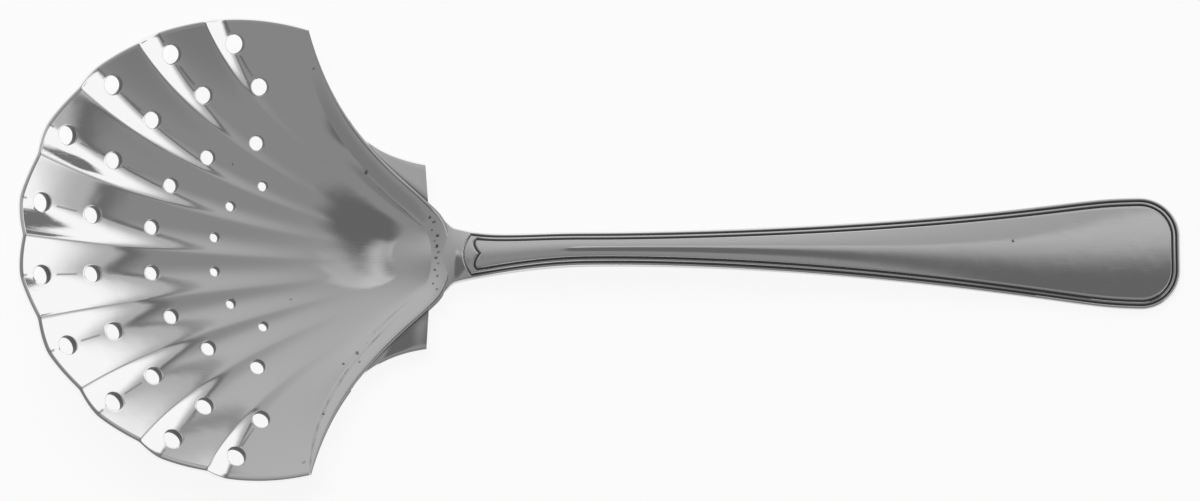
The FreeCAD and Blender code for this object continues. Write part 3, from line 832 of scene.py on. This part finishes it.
def handle_grids(insets, is_top, spoon):
    """A skin as a border grid, whose rows follow the outline at each inset, and a panel inside it.

    The outline is both sides, two quarter circles and the flat end. Each grid comes with how dark
    its painted shade is, which the underside has none of.
    """
    middle = handle_half_width(np.array(SHOULDER)) - END_CORNER
    inset = insets[:, None]
    side_along = np.broadcast_to(HANDLE_ALONG, (len(insets), len(HANDLE_ALONG)))
    side_across = handle_half_width(HANDLE_ALONG) - inset
    radius = END_CORNER - inset
    corner_along = SHOULDER + radius * np.sin(CORNER_TURNS)
    corner_across = middle + radius * np.cos(CORNER_TURNS)
    flat_across = np.broadcast_to(middle * PANEL_SHARES[1:-1], (len(insets), len(PANEL_SHARES) - 2))
    flat_along = np.broadcast_to(SHOULDER + radius, flat_across.shape)
    half_along = np.concatenate([side_along, corner_along], axis=1)
    half_across = np.concatenate([side_across, corner_across], axis=1)
    along = np.concatenate([half_along, flat_along, half_along[:, ::-1]], axis=1)
    across = np.concatenate([half_across, flat_across, -half_across[:, ::-1]], axis=1)
    border = along, across, np.broadcast_to(inset, along.shape)
    panel_along = np.broadcast_to(half_along[-1][:, None], (half_along.shape[1], len(PANEL_SHARES)))
    panel_across = half_across[-1][:, None] * PANEL_SHARES
    straight = handle_half_width(panel_along) - np.abs(panel_across)
    past = np.hypot(np.maximum(panel_along - SHOULDER, 0.0), np.maximum(np.abs(panel_across) - middle, 0.0))
    rounded = END_CORNER - past
    panel_inset = np.where(panel_along > SHOULDER, np.minimum(straight, rounded), straight)
    panel = panel_along, panel_across, np.maximum(panel_inset, insets[-1])
    return [(handle_skin(*grid, is_top, spoon), thread_shade(*grid, spoon) * is_top)
            for grid in (border, panel)]


def threaded_handle(spoon):
    """The handle: a grooved top, a plain underside, the wall between them, and a cap in the heel.

    The insets round the edge by a cosine. On the top they go on across both threads, in even steps
    that are a share of a thread's width.
    """
    rounding = spoon.edge_round * (1.0 - np.cos(EDGE_TURNS))
    first = spoon.thread_outer - 0.5 * spoon.thread_width
    last = spoon.thread_inner + FINE_PAST * spoon.thread_width
    fine = np.arange(first, last, FINE_STEP * spoon.thread_width)
    fine = fine[fine > spoon.edge_round + FINE_GAP]
    top_insets = np.concatenate([rounding, fine])
    mesh = Surface()
    edges = []
    ends = []
    for insets, is_top in ((top_insets, True), (rounding, False)):
        border, panel = [mesh.points(*grid) for grid in handle_grids(insets, is_top, spoon)]
        mesh.quads(border)
        mesh.quads(panel)
        edges.append(border[0])
        ends.append(np.concatenate([border[:, 0], panel[0], border[::-1, -1]]))
    mesh.quads(np.stack(edges))
    mesh.cap(ends[0], ends[1][::-1])
    return mesh


# Polished silver

class Formula:
    """Small helpers that write a formula as world or material nodes."""

    def __init__(self, tree):
        self.nodes = tree.nodes
        self.links = tree.links

    def feed(self, value, socket):
        """Links an output to a socket, or sets the socket to a plain value."""
        if isinstance(value, bpy.types.NodeSocket):
            self.links.new(value, socket)
        else:
            socket.default_value = value

    def math(self, operation, *values):
        """A sum, product, sine or other operation on one to three values."""
        node = self.nodes.new("ShaderNodeMath")
        node.operation = operation
        for value, socket in zip(values, node.inputs):
            self.feed(value, socket)
        return node.outputs["Value"]

    def product(self, first, *others):
        """Values multiplied together."""
        for value in others:
            first = self.math("MULTIPLY", first, value)
        return first

    def ramp(self, value, start, end, low=0.0, high=1.0, kind="SMOOTHSTEP"):
        """A smooth or straight step from low to high as the value goes from start to end."""
        node = self.nodes.new("ShaderNodeMapRange")
        node.interpolation_type = kind
        self.feed(value, node.inputs["Value"])
        for name, number in (("From Min", start), ("From Max", end), ("To Min", low), ("To Max", high)):
            self.feed(number, node.inputs[name])
        return node.outputs["Result"]

    def mix(self, share, first, second):
        """first where the share is 0, second where it is 1."""
        node = self.nodes.new("ShaderNodeMix")
        node.data_type = "FLOAT"
        self.feed(share, node.inputs[0])
        self.feed(first, node.inputs[2])
        self.feed(second, node.inputs[3])
        return node.outputs[0]

    def spot(self, x, y, centre, reach, start, end):
        """1 inside an oval and 0 outside, by the distance from its centre as a share of its reach."""
        along = self.math("DIVIDE", self.math("SUBTRACT", x, centre[0]), reach[0])
        across = self.math("DIVIDE", self.math("SUBTRACT", y, centre[1]), reach[1])
        square = self.math("ADD", self.math("MULTIPLY", along, along), self.math("MULTIPLY", across, across))
        return self.ramp(self.math("SQRT", square), start, end, 1.0, 0.0)

    def noise(self, position, scale, detail=2.0):
        """Noise at a position, with lumps of about one over the scale in metres."""
        node = self.nodes.new("ShaderNodeTexNoise")
        node.inputs["Scale"].default_value = scale
        node.inputs["Detail"].default_value = detail
        self.links.new(position, node.inputs["Vector"])
        return node

    def vector(self, operation, *values):
        """An operation on one to three vectors."""
        node = self.nodes.new("ShaderNodeVectorMath")
        node.operation = operation
        for value, socket in zip(values, node.inputs):
            self.feed(value, socket)
        return node

    def bump(self, height, strength, distance, below=None, inward=False):
        """The normal that a height gives to the one below it, with the distance in metres."""
        node = self.nodes.new("ShaderNodeBump")
        node.invert = inward
        node.inputs["Strength"].default_value = strength
        node.inputs["Distance"].default_value = distance
        self.links.new(height, node.inputs["Height"])
        if below is not None:
            self.links.new(below, node.inputs["Normal"])
        return node.outputs["Normal"]


# Pits and nicks that the photograph shows: X, Y and reach in millimetres, and how dark each is
MARKS = (
    (-32.4, 7.4, 0.35, 0.9), (-31.6, 6.5, 0.4, 0.8), (-32.0, 5.0, 0.3, 0.7), (-31.0, 3.8, 0.45, 0.9),
    (-31.5, 2.9, 0.3, 0.6), (-31.1, 1.9, 0.5, 0.9), (-30.8, 0.7, 0.35, 0.8), (-31.3, -0.4, 0.45, 0.8),
    (-30.9, -1.5, 0.3, 0.6), (-31.5, -2.7, 0.35, 0.7), (-31.0, -3.9, 0.4, 0.7), (-31.9, -5.4, 0.3, 0.7),
    (-31.1, -6.6, 0.35, 0.6), (-54.3, 35.8, 0.3, 0.5), (-44.4, 16.4, 0.6, 0.8), (-46.3, -18.6, 0.5, 0.7),
    (-45.9, -20.6, 0.4, 0.5), (-49.0, -20.8, 0.35, 0.9), (-52.8, -30.9, 0.4, 0.8), (-56.4, -40.6, 0.4, 0.4),
    (-69.8, 17.4, 0.3, 0.6), (-69.8, -8.6, 0.3, 0.5), (78.2, 2.0, 0.35, 0.9), (-58.9, -8.1, 0.3, 0.5),
)
MARK_CORE = 0.3
MARK_NOISE = 1800.0
MARK_SHIFT = 0.6

# Ovals of hatching in the threads' panel and by the neck's lower corner: X, Y, half length and half
# breadth in millimetres, and the share of that reach where the hatching starts to fade
HATCHED = ((-21.0, 0.4, 1.9, 2.3, 0.8), (-29.0, -4.4, 1.6, 2.2, 0.6))
HATCH_RADIANS_PER_METRE = 16000.0

# Scratches: turn in radians, scale of their noise along three axes per metre, and strength
SCRATCHES = (
    (0.25, (260.0, 5200.0, 400.0), 1.0),
    (1.35, (300.0, 6400.0, 420.0), 0.7),
    (-0.6, (240.0, 5800.0, 380.0), 0.6),
)
SCRATCH_START = 0.62
SCRATCH_FULL = 0.74
SCRATCH_DEPTH = 0.01 * MM
SCRATCH_STRENGTH = 0.1
SCRATCH_DETAIL = 3.0
HAZE_NOISE = 55.0
HAZE_DETAIL = 6.0
HAZE_START = 0.3
HAZE_FULL = 0.75
HAZE_LEAST = 0.7
HAZE_MOST = 1.9
RIPPLE_NOISE = 130.0
RIPPLE_DEPTH = 0.12 * MM
RIPPLE_STRENGTH = 0.22
PIT_DEPTH = 0.08 * MM
PIT_STRENGTH = 0.6
HATCH_SHARE = 0.25
SHADE_AND_PIT_DULLNESS = 0.4


def worn_marks(write, position):
    """Pits as soft-edged round spots drawn ragged by noise, and hatching left by tools at the neck.

    A pit's strength falls smoothly with the distance in plan from its middle, and the strongest pit
    counts at each place. The noise moves every point by half the shift on average, so the middles
    move with it. The hatching is a sine of X, kept to two small ovals.
    """
    shift = (MARK_SHIFT * MM, MARK_SHIFT * MM, 0.0)
    colour = write.noise(position, MARK_NOISE).outputs["Color"]
    ragged = write.vector("MULTIPLY_ADD", colour, shift, position)
    flat = write.vector("MULTIPLY", ragged.outputs["Vector"], (1.0, 1.0, 0.0)).outputs["Vector"]
    pits = 0.0
    for along, across, reach, depth in MARKS:
        middle = ((along + 0.5 * MARK_SHIFT) * MM, (across + 0.5 * MARK_SHIFT) * MM, 0.0)
        away = write.vector("DISTANCE", flat, middle).outputs["Value"]
        pit = write.ramp(away, MARK_CORE * reach * MM, reach * MM, depth, 0.0)
        pits = write.math("MAXIMUM", pits, pit)
    split = write.nodes.new("ShaderNodeSeparateXYZ")
    write.links.new(flat, split.inputs["Vector"])
    x, y = split.outputs["X"], split.outputs["Y"]
    worked = 0.0
    for along, across, length_reach, breadth_reach, fade in HATCHED:
        oval = write.spot(x, y, (along * MM, across * MM), (length_reach * MM, breadth_reach * MM), fade, 1.0)
        worked = write.math("MAXIMUM", worked, oval)
    lines = write.ramp(write.math("SINE", write.product(x, HATCH_RADIANS_PER_METRE)), 0.0, 1.0)
    return pits, write.product(worked, lines)


def scratch_height(write, position):
    """The sum of three layers of scratches, each the peaks of a noise stretched along one line."""
    height = 0.0
    for turn, stretch, strength in SCRATCHES:
        aim = write.nodes.new("ShaderNodeMapping")
        aim.inputs["Rotation"].default_value = (0.0, 0.0, turn)
        aim.inputs["Scale"].default_value = stretch
        write.links.new(position, aim.inputs["Vector"])
        peaks = write.noise(aim.outputs["Vector"], 1.0, SCRATCH_DETAIL).outputs["Fac"]
        scratch = write.ramp(peaks, SCRATCH_START, SCRATCH_FULL, 0.0, strength, "LINEAR")
        height = write.math("ADD", height, scratch)
    return height


def silver_material(look):
    """Polished silver: painted shade in the recesses, haze patches, fine scratches, ripples and pits.

    The colour goes from silver to the dark colour by the greater of the painted shade attribute and the
    pits. The roughness is a ramp of a slow noise, and the painted shade and pits add to it. Scratches,
    then a faint ripple of the sheet, then pits and hatching bend the normal in turn.
    """
    material = bpy.data.materials.new("polished_silver")
    material.use_nodes = True
    write = Formula(material.node_tree)
    shader = write.nodes["Principled BSDF"]
    shader.inputs["Metallic"].default_value = 1.0
    position = write.nodes.new("ShaderNodeTexCoord").outputs["Object"]

    pits, hatch = worn_marks(write, position)
    # The painted shade of the hole walls, folds, threads, edges and crevices, joined with the pits
    recess = write.nodes.new("ShaderNodeAttribute")
    recess.attribute_name = "painted_shade_and_pits"
    painted_shade_and_pits = write.math("MAXIMUM", recess.outputs["Fac"], pits)
    colour = write.nodes.new("ShaderNodeMix")
    colour.data_type = "RGBA"
    colour.inputs["A"].default_value = (*look.silver, 1.0)
    colour.inputs["B"].default_value = (*look.painted_shade_and_pits, 1.0)
    write.links.new(painted_shade_and_pits, colour.inputs["Factor"])
    write.links.new(colour.outputs["Result"], shader.inputs["Base Color"])

    haze = write.noise(position, HAZE_NOISE, HAZE_DETAIL).outputs["Fac"]
    least, most = HAZE_LEAST * look.roughness, HAZE_MOST * look.roughness
    polish = write.ramp(haze, HAZE_START, HAZE_FULL, least, most, "LINEAR")
    dull = write.math("MULTIPLY_ADD", painted_shade_and_pits, SHADE_AND_PIT_DULLNESS, polish)
    write.links.new(dull, shader.inputs["Roughness"])

    scratches = scratch_height(write, position)
    normal = write.bump(scratches, SCRATCH_STRENGTH, SCRATCH_DEPTH, inward=True)
    ripple = write.noise(position, RIPPLE_NOISE).outputs["Fac"]
    normal = write.bump(ripple, RIPPLE_STRENGTH, RIPPLE_DEPTH, below=normal)
    dents = write.math("ADD", pits, write.product(hatch, HATCH_SHARE))
    normal = write.bump(dents, PIT_STRENGTH, PIT_DEPTH, below=normal, inward=True)
    write.links.new(normal, shader.inputs["Normal"])
    return material


# Studio

# The camera's frame is that of the photograph, 1200 pixels wide. The aim is in millimetres, and the
# floor and lamp are in metres.
CAMERA_TILT = math.radians(12.0)
CAMERA_ROLL = math.radians(-0.45)
PIXELS_PER_MM = 5.27
CAMERA_LENS = 600.0
CAMERA_SENSOR = 36.0
FRAME_PIXELS = 1200.0
AIM = (-0.15, 0.9, 4.0)
PAPER_GLOW = 0.88
PAPER_ROUGHNESS = 0.9
FLOOR_HALF = 6.0
LAMP_PLACE = Vector((-0.3, 0.5, 1.6))
LAMP_SIZE = 1.2
LAMP_WATTS = 14.0


def studio_camera():
    """A long lens over the spoon, leaning towards -Y, as far off as its scale in pixels asks."""
    data = bpy.data.cameras.new("camera")
    data.lens = CAMERA_LENS
    data.sensor_width = CAMERA_SENSOR
    camera = bpy.data.objects.new("camera", data)
    bpy.context.scene.collection.objects.link(camera)
    distance = CAMERA_LENS / CAMERA_SENSOR * (FRAME_PIXELS / PIXELS_PER_MM) * MM
    back = Vector((0.0, -math.sin(CAMERA_TILT), math.cos(CAMERA_TILT)))
    turn = Matrix.Rotation(CAMERA_TILT, 4, "X") @ Matrix.Rotation(CAMERA_ROLL, 4, "Z")
    camera.matrix_world = Matrix.Translation(Vector(AIM) * MM + back * distance) @ turn
    bpy.context.scene.camera = camera


def paper_material(look):
    """White paper: mostly a plain glow to the eye and in reflections, so that its shadow is faint."""
    material = bpy.data.materials.new("white_paper")
    material.use_nodes = True
    write = Formula(material.node_tree)
    shader = write.nodes["Principled BSDF"]
    shader.inputs["Base Color"].default_value = (*look.paper, 1.0)
    shader.inputs["Roughness"].default_value = PAPER_ROUGHNESS
    glow = write.nodes.new("ShaderNodeEmission")
    path = write.nodes.new("ShaderNodeLightPath")
    seen = write.math("MAXIMUM", path.outputs["Is Camera Ray"], path.outputs["Is Glossy Ray"])
    pick = write.nodes.new("ShaderNodeMixShader")
    write.links.new(write.product(seen, PAPER_GLOW), pick.inputs["Fac"])
    write.links.new(shader.outputs["BSDF"], pick.inputs[1])
    write.links.new(glow.outputs["Emission"], pick.inputs[2])
    write.links.new(pick.outputs["Shader"], write.nodes["Material Output"].inputs["Surface"])
    return material


# Ovals of the sky, by X and Y of the direction: middle, reach, and where in that the fade runs
RIM_OVAL = ((0.03, 0.05), (0.36, 0.29), 0.9, 1.0)
LENS_OVAL = ((-0.025, 0.05), (0.34, 0.20), 0.68, 1.04)
GLINT_OVAL = ((-0.07, 0.23), (0.17, 0.09), 0.0, 1.0)

# Ramps of the sky: where each runs from and to along X, Y or Z, and the tones that it joins
GREY_BY_Y = (-0.1, 0.75, 0.25, 0.46)
SHADE_BY_Y = (-0.5, -0.28, 0.8, 1.0)
RIM_FADE_BY_Y = (0.16, 0.30, 0.0, 1.0)
RIM_BY_X = (-0.05, 0.15, 0.56, 0.47)
LENS_BY_X = (-0.32, -0.18, 0.2, 0.13)
LINE_FADE_BY_Z = (0.60, 0.66, 1.0, 0.0)
LINE_BY_Y = (0.3, 0.6, 0.15, 0.27)
WHITE_FADE_BY_Z = (0.56, 0.60, 1.0, 0.0)
WHITE_BY_Z = (0.40, 0.55, 1.0, 0.45)
GAP_TOP_BY_Z = (0.30, 0.33, 1.0, 0.0)
GAP_FOOT_BY_Z = (0.12, 0.15, 0.0, 1.0)
GLINT_TONE = 0.52
GAP_TONE = 0.17

# Ahead is the direction that the white faces, and a bearing is Y over X
AHEAD = (0.94, 0.34)
FACING_BY_AHEAD = (0.35, 0.42, 0.0, 1.0)
GAP_START_BY_BEARING = (0.46, 0.49, 0.0, 1.0)
GAP_END_BY_BEARING = (0.66, 0.70, 1.0, 0.0)
LEAST_X = 0.05


def sky_tone(write, x, y, z):
    """The studio's brightness by direction, as tones laid over each other with smooth steps.

    X, Y and Z are the direction's own parts, from -1 to 1. Each tone covers the ones before it.
    """
    # Overhead, grey that lightens towards +Y and darkens a little far towards -Y
    tone = write.product(write.ramp(y, *GREY_BY_Y), write.ramp(y, *SHADE_BY_Y))
    # A lighter rim on the +Y side of an oval, a dark lens inside it, and a glint in the lens
    rim = write.product(write.spot(x, y, *RIM_OVAL), write.ramp(y, *RIM_FADE_BY_Y))
    tone = write.mix(rim, tone, write.ramp(x, *RIM_BY_X))
    tone = write.mix(write.spot(x, y, *LENS_OVAL), tone, write.ramp(x, *LENS_BY_X))
    tone = write.mix(write.spot(x, y, *GLINT_OVAL), tone, GLINT_TONE)
    # Low down in front of the bowl's folds, a dark line over white paper that fades upwards
    ahead = write.math("ADD", write.product(x, AHEAD[0]), write.product(y, AHEAD[1]))
    facing = write.ramp(ahead, *FACING_BY_AHEAD)
    frame_line = write.product(facing, write.ramp(z, *LINE_FADE_BY_Z))
    tone = write.mix(frame_line, tone, write.ramp(y, *LINE_BY_Y))
    white = write.product(facing, write.ramp(z, *WHITE_FADE_BY_Z))
    tone = write.mix(white, tone, write.ramp(z, *WHITE_BY_Z))
    # A dark gap in the paper, between two bearings and two heights
    bearing = write.math("DIVIDE", y, write.math("MAXIMUM", x, LEAST_X))
    sides = [write.ramp(bearing, *GAP_START_BY_BEARING), write.ramp(bearing, *GAP_END_BY_BEARING)]
    ends = [write.ramp(z, *GAP_TOP_BY_Z), write.ramp(z, *GAP_FOOT_BY_Z)]
    return write.mix(write.product(*sides, *ends), tone, GAP_TONE)


def studio_sky():
    """The surroundings that the silver reflects. The camera itself sees plain grey instead."""
    world = bpy.data.worlds.new("studio")
    bpy.context.scene.world = world
    world.use_nodes = True
    world.node_tree.nodes.clear()
    write = Formula(world.node_tree)
    place = write.nodes.new("ShaderNodeTexCoord")
    split = write.nodes.new("ShaderNodeSeparateXYZ")
    write.links.new(place.outputs["Generated"], split.inputs["Vector"])
    soft = write.nodes.new("ShaderNodeBackground")
    write.links.new(sky_tone(write, *split.outputs), soft.inputs["Color"])
    plain = write.nodes.new("ShaderNodeBackground")
    path = write.nodes.new("ShaderNodeLightPath")
    pick = write.nodes.new("ShaderNodeMixShader")
    write.links.new(path.outputs["Is Camera Ray"], pick.inputs["Fac"])
    write.links.new(soft.outputs["Background"], pick.inputs[1])
    write.links.new(plain.outputs["Background"], pick.inputs[2])
    output = write.nodes.new("ShaderNodeOutputWorld")
    write.links.new(pick.outputs["Shader"], output.inputs["Surface"])


def studio_floor(look):
    """A wide sheet of paper under the spoon, a flat square."""
    corners = [(-1.0, -1.0, 0.0), (1.0, -1.0, 0.0), (1.0, 1.0, 0.0), (-1.0, 1.0, 0.0)]
    mesh = bpy.data.meshes.new("paper_floor")
    mesh.from_pydata((np.array(corners) * FLOOR_HALF).tolist(), [], [(0, 1, 2, 3)])
    floor = bpy.data.objects.new("paper_floor", mesh)
    floor.data.materials.append(paper_material(look))
    bpy.context.scene.collection.objects.link(floor)


def studio_lamp():
    """A round soft lamp over the bowl, which the silver doesn't mirror."""
    lamp = bpy.data.lights.new("soft_lamp", "AREA")
    lamp.shape = "DISK"
    lamp.size = LAMP_SIZE
    lamp.energy = LAMP_WATTS
    lamp_object = bpy.data.objects.new("soft_lamp", lamp)
    lamp_object.location = LAMP_PLACE
    lamp_object.rotation_euler = (-LAMP_PLACE).to_track_quat("-Z", "Y").to_euler()
    lamp_object.visible_glossy = False
    bpy.context.scene.collection.objects.link(lamp_object)


# Operators

FORMS = ("shell_bowl", "folded_collar", "ear_left", "ear_right", "threaded_handle")


class SPOON_OT_bowl(bpy.types.Operator):
    """Add the pierced shell bowl"""

    bl_idname = "spoon.bowl"
    bl_label = "Shell bowl"

    def execute(self, context):
        shell_bowl(millimetres(context)).finish("shell_bowl")
        return {"FINISHED"}


class SPOON_OT_collar(bpy.types.Operator):
    """Add the folded collar and its two ears"""

    bl_idname = "spoon.collar"
    bl_label = "Collar and ears"

    def execute(self, context):
        spoon = millimetres(context)
        folded_collar(spoon).finish("folded_collar")
        ear(spoon, 1.0).finish("ear_left")
        ear(spoon, -1.0).finish("ear_right")
        return {"FINISHED"}


class SPOON_OT_handle(bpy.types.Operator):
    """Add the threaded handle"""

    bl_idname = "spoon.handle"
    bl_label = "Threaded handle"

    def execute(self, context):
        threaded_handle(millimetres(context)).finish("threaded_handle")
        return {"FINISHED"}


class SPOON_OT_silver(bpy.types.Operator):
    """Join the forms into one piece of silver, which stands for the solid"""

    bl_idname = "spoon.silver"
    bl_label = "One piece of silver"

    def execute(self, context):
        forms = [bpy.data.objects[name] for name in FORMS]
        joined = bmesh.new()
        dark = []
        # The painted shade values are gathered beside the joined mesh, in the order of its points
        for form in forms:
            values = np.empty(len(form.data.vertices), dtype=np.float32)
            form.data.attributes["painted_shade_and_pits"].data.foreach_get("value", values)
            dark.append(values)
            form.data.attributes.remove(form.data.attributes["painted_shade_and_pits"])
            joined.from_mesh(form.data)
        mesh = bpy.data.meshes.new("silver_spoon")
        joined.to_mesh(mesh)
        joined.free()
        painted_shade_and_pits = mesh.attributes.new("painted_shade_and_pits", "FLOAT", "POINT")
        painted_shade_and_pits.data.foreach_set("value", np.concatenate(dark))
        for form in forms:
            bpy.data.objects.remove(form)
        spoon = bpy.data.objects.new("silver_spoon", mesh)
        context.scene.collection.objects.link(spoon)
        mesh.materials.append(silver_material(context.scene.silver_look))
        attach(spoon, "root")
        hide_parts(NODE)
        return {"FINISHED"}


class SPOON_OT_studio(bpy.types.Operator):
    """Add the paper floor, the soft light and the camera"""

    bl_idname = "spoon.studio"
    bl_label = "Studio"

    def execute(self, context):
        studio_floor(context.scene.silver_look)
        studio_sky()
        studio_lamp()
        studio_camera()
        context.scene.view_settings.view_transform = "Standard"
        return {"FINISHED"}


class SPOON_PT_panel(bpy.types.Panel):
    """Sizes, looks and builders of the serving spoon"""

    bl_idname = "SPOON_PT_panel"
    bl_label = "Serving spoon"
    bl_space_type = "VIEW_3D"
    bl_region_type = "UI"
    bl_category = "Spoon"

    def draw(self, context):
        layout = self.layout
        for group in (context.scene.spoon_sizes, context.scene.silver_look):
            for name in type(group).__annotations__:
                layout.prop(group, name)
        for operator in OPERATORS:
            layout.operator(operator.bl_idname)


OPERATORS = (SPOON_OT_bowl, SPOON_OT_collar, SPOON_OT_handle, SPOON_OT_silver, SPOON_OT_studio)
CLASSES = (SpoonSizes, SilverLook) + OPERATORS + (SPOON_PT_panel,)


def register():
    """Registers the classes and hangs the property groups on the scene."""
    for item in CLASSES:
        bpy.utils.register_class(item)
    bpy.types.Scene.spoon_sizes = PointerProperty(type=SpoonSizes)
    bpy.types.Scene.silver_look = PointerProperty(type=SilverLook)


def unregister():
    """Takes the property groups and classes away again."""
    del bpy.types.Scene.silver_look
    del bpy.types.Scene.spoon_sizes
    for item in reversed(CLASSES):
        bpy.utils.unregister_class(item)


def main():
    """Builds the spoon and its studio."""
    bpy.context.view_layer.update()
    register()
    for operator in OPERATORS:
        group, name = operator.bl_idname.split(".")
        getattr(getattr(bpy.ops, group), name)()
    bpy.context.view_layer.update()


if __name__ == "__main__":
    main()
